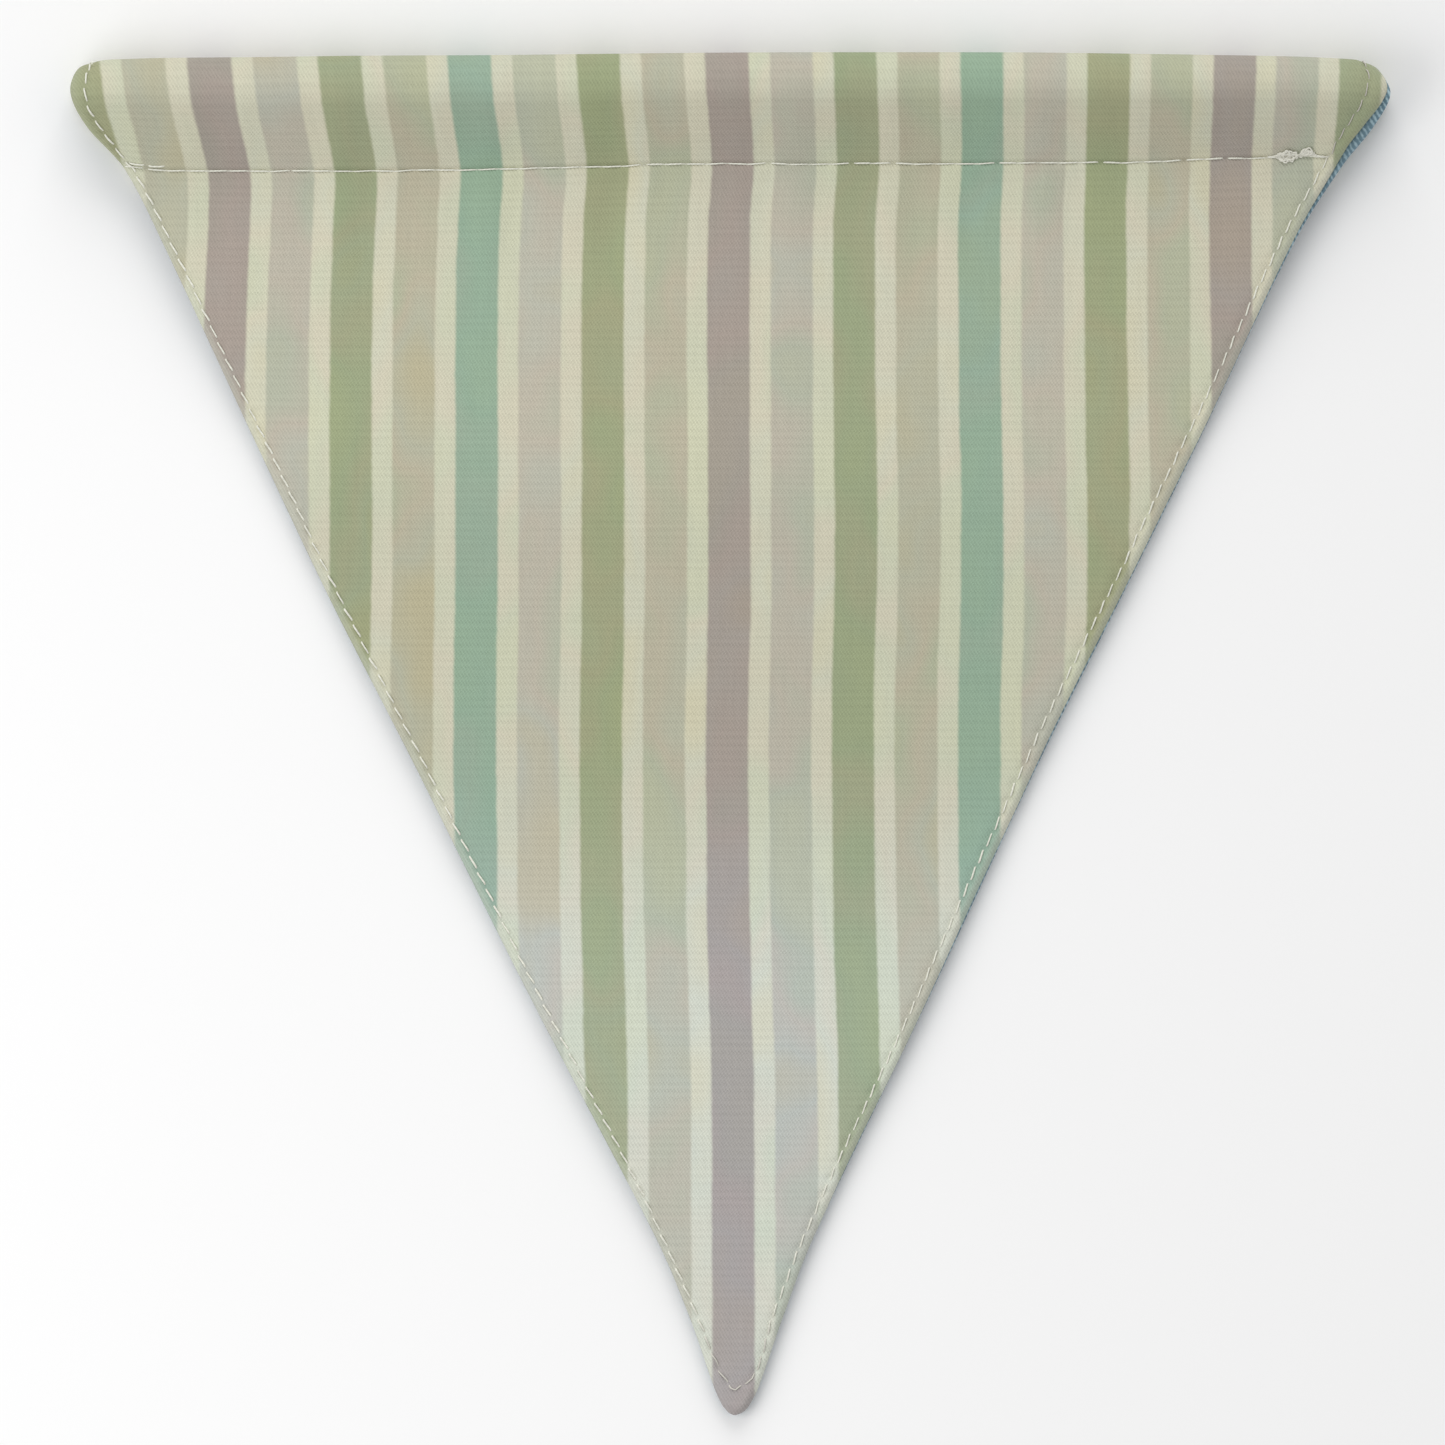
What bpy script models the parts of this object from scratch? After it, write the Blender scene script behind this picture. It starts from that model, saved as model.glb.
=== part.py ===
"""Bunting pennant: a striped front and a blue backing sewn together, with an open channel along the top.

Metres. The flag lies on its back: +X runs across it, +Y from its tip to its channel, +Z out of its
striped face. The origin is under the middle of its box. "Up" below is the distance above the tip.
Both plies follow one line in the YZ plane: flat from the tip, up a slope on to the folded-back hem, over
the channel, round the fold at the top edge and back along the underside to the hem's edge.
"""

import math
from collections import namedtuple

import bpy
from mathutils import Vector

# Driving sizes: the flag from tip to top edge, one ply and the gap between plies, and the channel's seam
FLAG_HEIGHT = 0.1654
PLY = 0.0010
PLY_GAP = 0.0003
SEAM_UP = 0.1513

# The channel: its clear height, how steeply its upper wall leaves the seam, and the bend there
HOLLOW_HEIGHT = 0.0052
RISE_ANGLE = math.radians(80)
SEAM_BEND = 0.0026

# Below the seam: the slope up on to the folded-back hem
SLOPE_START = 0.0170
SLOPE_END = 0.0030

# The hem: how far it reaches past the seam, how high the thread pulls it up there, and how far above the
# seam the channel's flat floor begins
HEM_LIP = 0.0025
HEM_NIP = 0.0002
FLOOR_START = 0.0040

# Faces across the flag and along each stretch of the ply line; the body's are finer near the tip
COLUMNS = 18
BODY_STEPS = 20
BODY_GRADING = 1.4
SLOPE_STEPS = 7
SEAM_STEPS = 4
CREST_STEPS = 5
TURN_STEPS = 10
FLOOR_STEPS = 3
HEM_STEPS = 4

# The two long edges, from the tip to the channel's corners, as distances either side of X = 0
Edge = namedtuple("Edge", "up left right")
EDGES = [
    Edge(0.0000, 0.0000, 0.0012),
    Edge(0.0012, 0.0010, 0.0023),
    Edge(0.0034, 0.0020, 0.0033),
    Edge(0.0117, 0.0049, 0.0063),
    Edge(0.0214, 0.0090, 0.0100),
    Edge(0.0505, 0.0242, 0.0240),
    Edge(0.0796, 0.0387, 0.0376),
    Edge(0.0990, 0.0486, 0.0473),
    Edge(0.1184, 0.0578, 0.0569),
    Edge(0.1427, 0.0691, 0.0686),
    Edge(0.1517, 0.0738, 0.0743),
    Edge(0.1565, 0.0781, 0.0781),
    Edge(0.1604, 0.0800, 0.0800),
    Edge(0.1633, 0.0791, 0.0784),
    Edge(0.1643, 0.0770, 0.0770),
    Edge(0.1654, 0.0740, 0.0740),
]

# Height of the channel's seam across the flag, which dips and climbs as it was sewn
SeamPoint = namedtuple("SeamPoint", "x up")
SEAM_LINE = [
    SeamPoint(-0.0800, 0.1524),
    SeamPoint(-0.0740, 0.1523),
    SeamPoint(-0.0680, 0.1512),
    SeamPoint(-0.0400, 0.1510),
    SeamPoint(0.0000, 0.1513),
    SeamPoint(0.0450, 0.1514),
    SeamPoint(0.0740, 0.1518),
    SeamPoint(0.0800, 0.1519),
]

# How far the blue backing stands out past the striped front along the right edge
Reveal = namedtuple("Reveal", "up width")
RIGHT_REVEAL = [
    Reveal(0.0000, -0.0003),
    Reveal(0.0600, -0.0002),
    Reveal(0.1250, 0.0001),
    Reveal(0.1415, 0.0003),
    Reveal(0.1476, 0.0006),
    Reveal(0.1573, 0.0011),
    Reveal(0.1604, 0.0005),
    Reveal(0.1620, 0.0000),
    Reveal(0.1654, -0.0003),
]
LEFT_TUCK = 0.0003

# The fold's gentle bow, its rounded corners, the channel's puffs and the lift of the long edges. The seam's
# dips die out over SEAM_BLEND below it, and an edge's place settles in a few passes.
FOLD_BOW = 0.0006
FOLD_BOW_CENTRE = 0.0100
FOLD_BOW_REACH = 0.0750
CORNER_START = 0.0700
CORNER_DROP = 0.0007
CORNER_REACH = 0.0080
PUFF = 0.0004
PUFF_PITCH = 0.0520
EDGE_LIFT = 0.0004
EDGE_LIFT_PITCH = 0.0470
EDGE_LIFT_SPAN = (0.0120, 0.1260)
EDGE_LIFT_FADE = 0.0230
EDGE_LIFT_PHASE_LEFT = 3.2
EDGE_LIFT_PHASE_RIGHT = 1.0
SEAM_BLEND = 0.0250
EDGE_PASSES = 4

# Heights of the line between the two plies
BODY_Z = PLY + PLY_GAP / 2
SEAM_Z = BODY_Z + 2 * (PLY + PLY_GAP) + HEM_NIP
PLY_REACH = PLY + PLY_GAP / 2
TURN_RADIUS = HOLLOW_HEIGHT / 2 + PLY_REACH
CREST_Z = BODY_Z + 2 * TURN_RADIUS
CREST_BEND = (CREST_Z - SEAM_Z) / (1 - math.cos(RISE_ANGLE)) - SEAM_BEND
TURN_UP = FLAG_HEIGHT - PLY_REACH - TURN_RADIUS
CREST_START = SEAM_UP + (SEAM_BEND + CREST_BEND) * math.sin(RISE_ANGLE)


def blend(a, b, t):
    return a + (b - a) * t


def ease(t):
    """0 to 1, level at both ends."""
    t = min(max(t, 0.0), 1.0)
    return t * t * (3 - 2 * t)


def read_table(rows, at, key, column):
    """A column of a table at a place between its rows, smooth through them (Catmull-Rom)."""
    places = [getattr(row, key) for row in rows]
    values = [getattr(row, column) for row in rows]
    at = min(max(at, places[0]), places[-1])
    i = max(k for k in range(len(rows) - 1) if places[k] <= at)
    span = places[i + 1] - places[i]

    def slope(k):
        low, high = max(k - 1, 0), min(k + 1, len(rows) - 1)
        return (values[high] - values[low]) / (places[high] - places[low])

    t = (at - places[i]) / span
    rise = t * t * (3 - 2 * t)
    start = t * (1 - t) ** 2 * span * slope(i)
    end = t * t * (t - 1) * span * slope(i + 1)
    return blend(values[i], values[i + 1], rise) + start + end


def arc(centre, radius, start, end, steps):
    """Points (up, z) along an arc, after its first; the angles are in radians from +Y towards +Z."""
    angles = [blend(start, end, k / steps) for k in range(1, steps + 1)]
    return [(centre[0] + radius * math.cos(a), centre[1] + radius * math.sin(a)) for a in angles]


def ply_line():
    """The line between the two plies, from the tip round the channel to the hem's edge, as (up, z) points."""
    body_end = SEAM_UP - SLOPE_START
    slope_end = SEAM_UP - SLOPE_END
    quarter = math.pi / 2
    seam_centre = (SEAM_UP, SEAM_Z + SEAM_BEND)
    crest_centre = (CREST_START, CREST_Z - CREST_BEND)
    turn_centre = (TURN_UP, CREST_Z - TURN_RADIUS)
    points = [(body_end * (k / BODY_STEPS) ** BODY_GRADING, BODY_Z) for k in range(BODY_STEPS + 1)]
    for k in range(1, SLOPE_STEPS + 1):
        t = k / SLOPE_STEPS
        points.append((blend(body_end, slope_end, t), blend(BODY_Z, SEAM_Z, ease(t))))
    points.append((SEAM_UP, SEAM_Z))
    points += arc(seam_centre, SEAM_BEND, -quarter, RISE_ANGLE - quarter, SEAM_STEPS)
    points += arc(crest_centre, CREST_BEND, quarter + RISE_ANGLE, quarter, CREST_STEPS)
    points += arc(turn_centre, TURN_RADIUS, quarter, -quarter, TURN_STEPS)
    floor_start = SEAM_UP + FLOOR_START
    points += [(blend(TURN_UP, floor_start, k / FLOOR_STEPS), BODY_Z) for k in range(1, FLOOR_STEPS + 1)]
    for k in range(1, HEM_STEPS + 1):
        up = blend(floor_start, SEAM_UP - HEM_LIP, k / HEM_STEPS)
        points.append((up, BODY_Z + HEM_NIP * ease((floor_start - up) / FLOOR_START)))
    return points


def line_normals(points):
    """Unit normals (up, z) of the ply line, on its striped side."""
    normals = []
    for k in range(len(points)):
        before, after = points[max(k - 1, 0)], points[min(k + 1, len(points) - 1)]
        along = Vector(after) - Vector(before)
        normals.append(Vector((-along.y, along.x)).normalized())
    return normals


def fold_up(x):
    """Height of the channel's top edge at x."""
    bow = FOLD_BOW * ((x - FOLD_BOW_CENTRE) / FOLD_BOW_REACH) ** 2
    corner = CORNER_DROP * (max(abs(x) - CORNER_START, 0.0) / CORNER_REACH) ** 2
    return FLAG_HEIGHT - bow - corner


def laid_up(up, x):
    """A height of the ply line on the even flag, moved to where the uneven seam and fold put it."""
    seam = read_table(SEAM_LINE, x, "x", "up")
    if up >= SEAM_UP:
        return seam + (up - SEAM_UP) * (fold_up(x) - PLY_REACH - seam) / (FLAG_HEIGHT - PLY_REACH - SEAM_UP)
    return up + (seam - SEAM_UP) * ease(1 - (SEAM_UP - up) / SEAM_BLEND)


def wave(at, pitch, phase=0.0):
    """A wave between 0 and 1."""
    return 0.5 + 0.5 * math.sin(2 * math.pi * at / pitch + phase)


def lift(x, up, z, half_width):
    """How far the cloth stands up at a place: the channel's puffs, and the waves of the long edges."""
    puff = PUFF * ease((z - SEAM_Z) / (CREST_Z - SEAM_Z)) * wave(x, PUFF_PITCH)
    low, high = EDGE_LIFT_SPAN
    in_span = ease((up - low) / EDGE_LIFT_FADE) * ease((high - up) / EDGE_LIFT_FADE)
    near_edge = ease(2 * abs(x) / half_width - 1)
    phase = EDGE_LIFT_PHASE_RIGHT if x > 0 else EDGE_LIFT_PHASE_LEFT
    return puff + EDGE_LIFT * in_span * near_edge * wave(up, EDGE_LIFT_PITCH, phase)


def front_inset(side, up):
    """The striped ply's edge steps back on the right, where the backing shows."""
    return max(read_table(RIGHT_REVEAL, up, "up", "width"), 0.0) if side > 0 else 0.0


def backing_inset(side, up):
    """The blue ply is rolled just out of sight on the left, and on the right near the tip."""
    return max(-read_table(RIGHT_REVEAL, up, "up", "width"), 0.0) if side > 0 else LEFT_TUCK


def edge_x(up, outwards, side, inset):
    """X of a long edge where the ply line is at a height and the outer face lies outwards of it along +Y."""
    column = "left" if side < 0 else "right"
    x = 0.0
    for _ in range(EDGE_PASSES):
        seen_up = laid_up(up, x) + outwards
        x = side * (read_table(EDGES, seen_up, "up", column) - inset(side, seen_up))
    return x


def add_ply(name, offset, inset, material, collection):
    """One ply: a grid laid along the ply line at its own offset from it, then thickened evenly."""
    line = ply_line()
    normals = line_normals(line)
    rows = len(line) - 1
    bpy.ops.mesh.primitive_grid_add(x_subdivisions=COLUMNS, y_subdivisions=rows, size=2)
    ply = bpy.context.object
    ply.name = ply.data.name = name
    for vertex in ply.data.vertices:
        row = round((vertex.co.y + 1) / 2 * rows)
        up, z = line[row]
        normal = normals[row]
        left, right = (edge_x(up, PLY_REACH * normal.x, side, inset) for side in (-1, 1))
        x = blend(left, right, (vertex.co.x + 1) / 2)
        y = laid_up(up, x) + offset * normal.x - FLAG_HEIGHT / 2
        vertex.co = (x, y, z + offset * normal.y + lift(x, up, z, (right - left) / 2))
    ply.data.shade_smooth()
    thickness = ply.modifiers.new("thickness", "SOLIDIFY")
    thickness.thickness = PLY
    thickness.offset = 0
    thickness.use_even_offset = True
    ply.data.materials.append(material)
    for other in ply.users_collection:
        other.objects.unlink(ply)
    collection.objects.link(ply)


def cloth(name, colour, roughness):
    material = bpy.data.materials.new(name)
    material.use_nodes = True
    shader = material.node_tree.nodes["Principled BSDF"]
    shader.inputs["Base Color"].default_value = (*colour, 1)
    shader.inputs["Roughness"].default_value = roughness
    shader.inputs["Metallic"].default_value = 0.0
    return material


def main():
    for old in list(bpy.data.objects):
        bpy.data.objects.remove(old)
    pennant = bpy.data.collections.new("bunting_pennant")
    bpy.context.scene.collection.children.link(pennant)
    ply_middle = (PLY + PLY_GAP) / 2
    striped = cloth("striped_cotton", colour=(0.43, 0.43, 0.32), roughness=0.9)
    blue = cloth("blue_cotton", colour=(0.068, 0.119, 0.196), roughness=0.92)
    add_ply("front_panel", ply_middle, front_inset, striped, pennant)
    add_ply("backing_panel", -ply_middle, backing_inset, blue, pennant)


main()
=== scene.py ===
"""Bunting pennant, dressed: striped cotton sewn to a blue backing, with an open channel folded at the top.

Metres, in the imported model's frame. The flag lies face up: +X runs across it and +Y from its tip to its
channel. "Up" is the distance above the tip, and "line" is the one that both plies follow in the YZ plane,
from the tip, over the channel and round its fold to the edge of the hem underneath.
"""

import math

import bpy
import numpy as np
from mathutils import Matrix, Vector


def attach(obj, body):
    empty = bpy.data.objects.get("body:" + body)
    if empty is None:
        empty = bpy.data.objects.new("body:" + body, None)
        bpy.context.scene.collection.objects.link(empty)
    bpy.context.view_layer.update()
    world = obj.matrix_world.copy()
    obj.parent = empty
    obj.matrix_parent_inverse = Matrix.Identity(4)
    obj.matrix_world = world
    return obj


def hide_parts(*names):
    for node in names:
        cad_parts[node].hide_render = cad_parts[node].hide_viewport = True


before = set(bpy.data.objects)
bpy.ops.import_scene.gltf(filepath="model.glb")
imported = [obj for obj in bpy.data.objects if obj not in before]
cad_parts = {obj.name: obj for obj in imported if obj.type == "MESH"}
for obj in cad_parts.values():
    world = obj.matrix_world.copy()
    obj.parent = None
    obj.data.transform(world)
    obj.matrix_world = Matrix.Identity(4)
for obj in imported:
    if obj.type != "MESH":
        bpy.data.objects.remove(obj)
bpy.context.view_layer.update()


# Striped front. One cut of fine printed cotton, with its long edges turned in and topstitched to the
# backing. Its top is folded over to the back together with the backing and stitched through, which makes
# the channel. The stripes are soft washes of green, aqua, mauve and grey on cream.
FLAG_HEIGHT = 0.1654
SEAM_UP = 0.1513
HALF_FLAG = 0.00115  # from the line between the plies to either outer face
CLOTH = 0.0005
SEAM_RISE = 0.0028  # the front at the seam lies on the folded-back hem
SLOPE_START = 0.0380  # below the seam, where the cloth begins to rise on to the hem
SLOPE_END = 0.0020
SEAM_BEND = 0.0020
FOLD_BEND = 0.00315  # radius of the upper half of the fold
TURN_RADIUS = 0.00375  # and of its lower half
FLOOR_START = 0.0040  # above the seam, where the channel's flat floor begins
HEM_NIP = 0.0002  # how far the thread pulls the hem up
HEM_LIP = 0.0025  # how far the hem reaches past the seam
LINE_STEP = 0.0001

# The two long edges, as distances to the left and right of X = 0
OUTLINE = np.array(
    [
        (0.0000, -0.0004, 0.0006),
        (0.0002, 0.0001, 0.0012),
        (0.0006, 0.0005, 0.0018),
        (0.0012, 0.0010, 0.0023),
        (0.0034, 0.0020, 0.0034),
        (0.0117, 0.0049, 0.0063),
        (0.0214, 0.0090, 0.0100),
        (0.0505, 0.0242, 0.0240),
        (0.0796, 0.0387, 0.0376),
        (0.0990, 0.0486, 0.0473),
        (0.1184, 0.0578, 0.0569),
        (0.1427, 0.0691, 0.0686),
        (0.1517, 0.0738, 0.0743),
        (0.1565, 0.0781, 0.0781),
        (0.1604, 0.0800, 0.0800),
        (0.1633, 0.0791, 0.0784),
        (0.1643, 0.0770, 0.0770),
        (0.1654, 0.0740, 0.0740),
    ],
    dtype=[("up", float), ("left", float), ("right", float)],
)
# Where the channel's seam runs, which isn't quite level
SEAM_LINE = np.array(
    [
        (-0.0800, 0.1518),
        (-0.0735, 0.1516),
        (-0.0698, 0.1511),
        (-0.0626, 0.1510),
        (-0.0371, 0.1511),
        (-0.0225, 0.1514),
        (-0.0079, 0.1518),
        (-0.0007, 0.1519),
        (0.0212, 0.1519),
        (0.0394, 0.1520),
        (0.0503, 0.1521),
        (0.0576, 0.1524),
        (0.0685, 0.1528),
        (0.0740, 0.1527),
        (0.0800, 0.1526),
    ],
    dtype=[("x", float), ("up", float)],
)
# How far the top of the fold lies below the flag's full height
FOLD_DROP = np.array(
    [
        (-0.0800, 0.00126),
        (-0.0775, 0.00118),
        (-0.0758, 0.00092),
        (-0.0729, 0.00080),
        (-0.0693, 0.00069),
        (-0.0571, 0.00058),
        (-0.0462, 0.00043),
        (-0.0280, 0.00033),
        (-0.0010, 0.00004),
        (0.0327, 0.00000),
        (0.0449, 0.00012),
        (0.0570, 0.00030),
        (0.0691, 0.00053),
        (0.0746, 0.00080),
        (0.0762, 0.00093),
        (0.0776, 0.00122),
        (0.0800, 0.00150),
    ],
    dtype=[("x", float), ("drop", float)],
)
# How far the blue ply shows past the striped one on the right; below zero it is hidden by as much
BLUE_REVEAL = np.array(
    [
        (0.0000, -0.00020),
        (0.0237, 0.00000),
        (0.0334, 0.00010),
        (0.0431, 0.00002),
        (0.0528, 0.00010),
        (0.0626, 0.00018),
        (0.0723, 0.00008),
        (0.0820, 0.00018),
        (0.0917, 0.00019),
        (0.1014, 0.00013),
        (0.1111, 0.00014),
        (0.1208, 0.00008),
        (0.1305, 0.00008),
        (0.1402, 0.00020),
        (0.1450, 0.00032),
        (0.1500, 0.0006),
        (0.1525, 0.0009),
        (0.1545, 0.0014),
        (0.1570, 0.0013),
        (0.1590, 0.0009),
        (0.1604, 0.0005),
        (0.1620, 0.0000),
        (0.1654, -0.0003),
    ],
    dtype=[("up", float), ("width", float)],
)


def ease(t):
    """0 to 1, level at both ends."""
    t = np.clip(t, 0.0, 1.0)
    return t * t * (3 - 2 * t)


def through(table, at, column):
    """A column of a table, smooth through its rows, at places given as in its first column."""
    places, values = table[table.dtype.names[0]], table[column]
    ends = np.arange(len(values))
    low, high = np.maximum(ends - 1, 0), np.minimum(ends + 1, len(values) - 1)
    slopes = (values[high] - values[low]) / (places[high] - places[low])
    at = np.clip(at, places[0], places[-1])
    i = np.clip(np.searchsorted(places, at, side="right") - 1, 0, len(places) - 2)
    span = places[i + 1] - places[i]
    t = (at - places[i]) / span
    start = t * (1 - t) ** 2 * span * slopes[i]
    end = t * t * (t - 1) * span * slopes[i + 1]
    return values[i] + (values[i + 1] - values[i]) * ease(t) + start + end


def straight(start, end):
    """Points (up, z) from start to end."""
    steps = max(int(math.dist(start, end) / LINE_STEP), 1)
    return np.linspace(start, end, steps + 1)


def bend(centre, radius, start, end):
    """Points (up, z) along an arc; the angles are in radians from +Y towards +Z."""
    steps = max(int(abs(end - start) * radius / LINE_STEP), 4)
    angle = np.linspace(start, end, steps + 1)
    return np.column_stack([centre[0] + radius * np.cos(angle), centre[1] + radius * np.sin(angle)])


def draw_line():
    """The line between the plies: length so far, up, z, and the unit normal (up, z) on the striped side."""
    seam_z, fold_z, quarter = HALF_FLAG + SEAM_RISE, HALF_FLAG + TURN_RADIUS, math.pi / 2
    slope = straight((SEAM_UP - SLOPE_START, HALF_FLAG), (SEAM_UP - SLOPE_END, HALF_FLAG))
    slope[:, 1] += SEAM_RISE * ease(np.linspace(0, 1, len(slope)))
    fold_end = FLAG_HEIGHT - HALF_FLAG
    seam_centre, fold_centre = (SEAM_UP, seam_z + SEAM_BEND), (fold_end - FOLD_BEND, fold_z)
    apart = np.subtract(fold_centre, seam_centre)
    climb = math.atan2(apart[1], apart[0]) + math.asin((SEAM_BEND + FOLD_BEND) / np.hypot(*apart))
    hem = straight((SEAM_UP + FLOOR_START, HALF_FLAG), (SEAM_UP - HEM_LIP, HALF_FLAG))
    hem[:, 1] += HEM_NIP * ease((hem[0, 0] - hem[:, 0]) / FLOOR_START)
    runs = [
        straight((0.0, HALF_FLAG), slope[0]),
        slope,
        straight(slope[-1], (SEAM_UP, seam_z)),
        bend(seam_centre, SEAM_BEND, -quarter, climb - quarter),
        bend(fold_centre, FOLD_BEND, quarter + climb, 0),
        bend((fold_end - TURN_RADIUS, fold_z), TURN_RADIUS, 0, -quarter),
        hem,
    ]
    points = np.concatenate(runs)
    steps = np.hypot(*np.diff(points, axis=0).T)
    points = points[np.append(True, steps > LINE_STEP / 10)]
    along = np.append(0.0, np.cumsum(np.hypot(*np.diff(points, axis=0).T)))
    even = np.linspace(0.0, along[-1], int(along[-1] / LINE_STEP))
    up, z = (np.interp(even, along, points[:, k]) for k in (0, 1))
    slope_up, slope_z = np.gradient(up, even), np.gradient(z, even)
    size = np.hypot(slope_up, slope_z)
    return even, up, z, -slope_z / size, slope_up / size


LINE, LINE_UP, LINE_Z, LINE_OUT_UP, LINE_OUT_Z = draw_line()
LINE_END = LINE[-1]
TOP_OF_FOLD = LINE[np.argmax(LINE_UP)]
SEAM_AT = float(np.interp(SEAM_UP, LINE_UP[LINE < TOP_OF_FOLD], LINE[LINE < TOP_OF_FOLD]))
HEM_SEAM_AT = LINE_END - HEM_LIP

SEAM_BLEND = 0.0250  # how far below the seam its unevenness dies out


def laid_up(up, x):
    """A height of the line on the even flag, moved to where the uneven seam and fold put it."""
    seam = through(SEAM_LINE, x, "up")
    depth = FLAG_HEIGHT - through(FOLD_DROP, x, "drop") - HALF_FLAG - seam
    channel = seam + (up - SEAM_UP) * depth / (FLAG_HEIGHT - HALF_FLAG - SEAM_UP)
    body = up + (seam - SEAM_UP) * ease(1 - (SEAM_UP - up) / SEAM_BLEND)
    return np.where(up >= SEAM_UP, channel, body)


def long_edges(step_back, rim_out):
    """X of a ply's left and right rim all along the line, so that seen from above they make the outline."""
    edges = []
    for side, column in ((-1, "left"), (1, "right")):
        x = np.zeros_like(LINE)
        for _ in range(4):  # the seam isn't level, so the edge settles in a few rounds
            seen_up = laid_up(LINE_UP, x) + rim_out * LINE_OUT_UP
            width = through(OUTLINE, seen_up, "left") + through(OUTLINE, seen_up, "right")
            x = side * (through(OUTLINE, seen_up, column) - np.minimum(step_back(side, seen_up), width / 4))
        edges.append(x)
    return edges


PUFF = 0.0004
PUFF_PITCH = 0.0520
EDGE_LIFT = 0.0004
EDGE_LIFT_PITCH = 0.0470
EDGE_LIFT_SPAN = (0.0120, 0.1260)
EDGE_LIFT_FADE = 0.0230
EDGE_LIFT_PHASE = {"left": 3.2, "right": 1.0}
PUCKER = 0.00011
PUCKER_REACH = 0.0045
PUCKER_WAVES = ((0.0061, 0.4), (0.0093, 2.1), (0.0138, 4.0))  # wavelength and phase
SWELL = 0.00010
SWELL_START = 0.02
SWELL_FADE = 0.03
SWELL_WAVES = ((0.0310, 0.0440, 0.7), (0.0230, -0.0370, 2.9), (-0.0540, 0.0260, 5.1))  # across, along, phase


def lift(s, x, half_width):
    """How far the flag stands up from its line: channel puffs, waves of the edges, puckers at the seam."""
    up, z = np.interp(s, LINE, LINE_UP), np.interp(s, LINE, LINE_Z)
    on_top = z > HALF_FLAG + HEM_NIP
    puffed = ease((z - HALF_FLAG - SEAM_RISE) / (TURN_RADIUS + FOLD_BEND - SEAM_RISE))
    puff = PUFF * puffed * (0.5 + 0.5 * np.sin(2 * np.pi * x / PUFF_PITCH))
    low, high = EDGE_LIFT_SPAN
    in_span = ease((up - low) / EDGE_LIFT_FADE) * ease((high - up) / EDGE_LIFT_FADE)
    phase = np.where(x > 0, EDGE_LIFT_PHASE["right"], EDGE_LIFT_PHASE["left"])
    wave = 0.5 + 0.5 * np.sin(2 * np.pi * up / EDGE_LIFT_PITCH + phase)
    edge = EDGE_LIFT * in_span * ease(2 * np.abs(x) / half_width - 1) * wave
    from_seam = np.abs(s - SEAM_AT) / PUCKER_REACH
    pucker = sum(np.sin(2 * np.pi * x / length + turn) for length, turn in PUCKER_WAVES)
    pucker = PUCKER * pucker * from_seam * np.exp(1 - from_seam) * (s < TOP_OF_FOLD)
    swell = sum(np.sin(2 * np.pi * (x / a + s / b) + turn) for a, b, turn in SWELL_WAVES)
    swell = SWELL * (1 + swell / 3) * ease((s - SWELL_START) / SWELL_FADE) * (on_top | (s < SEAM_AT))
    return puff + edge + pucker + swell * (s < TOP_OF_FOLD)


def lay(s, x, out):
    """The place at s along the line and x across the flag, a distance out of the line on the striped side."""
    up, z, out_up, out_z = (np.interp(s, LINE, c) for c in (LINE_UP, LINE_Z, LINE_OUT_UP, LINE_OUT_Z))
    half_width = np.maximum((np.interp(s, LINE, FRONT_RIGHT) - np.interp(s, LINE, FRONT_LEFT)) / 2, 0.001)
    y = laid_up(up, x) + out * out_up - FLAG_HEIGHT / 2
    return np.stack([x + 0 * y, y, z + out * out_z + lift(s, x, half_width)], axis=-1)


def front_step(side, up):
    """The striped ply's edge steps back on the right, where the blue one shows."""
    return np.maximum(through(BLUE_REVEAL, up, "width"), 0.0) if side > 0 else 0.0


FRONT_LEFT, FRONT_RIGHT = long_edges(front_step, rim_out=0.0)

# The topstitching runs down the left edge, round the tip in a crooked V and up the right edge, at these
# distances in from the edges along X. It passes through both plies, so both dip along it.
TOPSTITCH_PITCH = 0.0023
TOPSTITCH_END = 0.0008  # short of the hem's edge
TOPSTITCH_IN = np.array(
    [
        (0.0079, 0.00100, 0.00090),
        (0.0095, 0.00112, 0.00115),
        (0.0129, 0.00095, 0.00130),
        (0.0182, 0.00080, 0.00120),
        (0.0300, 0.00115, 0.00130),
        (0.0600, 0.00125, 0.00145),
        (0.1200, 0.00130, 0.00165),
        (0.1490, 0.00105, 0.00150),
        (0.1530, 0.00130, 0.00165),
        (0.1560, 0.00175, 0.00215),
        (0.1600, 0.00180, 0.00245),
        (0.1628, 0.00180, 0.00200),
        (0.1640, 0.00160, 0.00150),
    ],
    dtype=[("up", float), ("left", float), ("right", float)],
)
TIP_V = (
    (0.0079, -0.0024),
    (0.0067, -0.0018),
    (0.0054, -0.0014),
    (0.0044, -0.0006),
    (0.0033, 0.0002),
    (0.0031, 0.0006),
    (0.0035, 0.0013),
    (0.0045, 0.0027),
    (0.0065, 0.0036),
    (0.0085, 0.0042),
)
TIP_STEPS = 12


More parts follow.
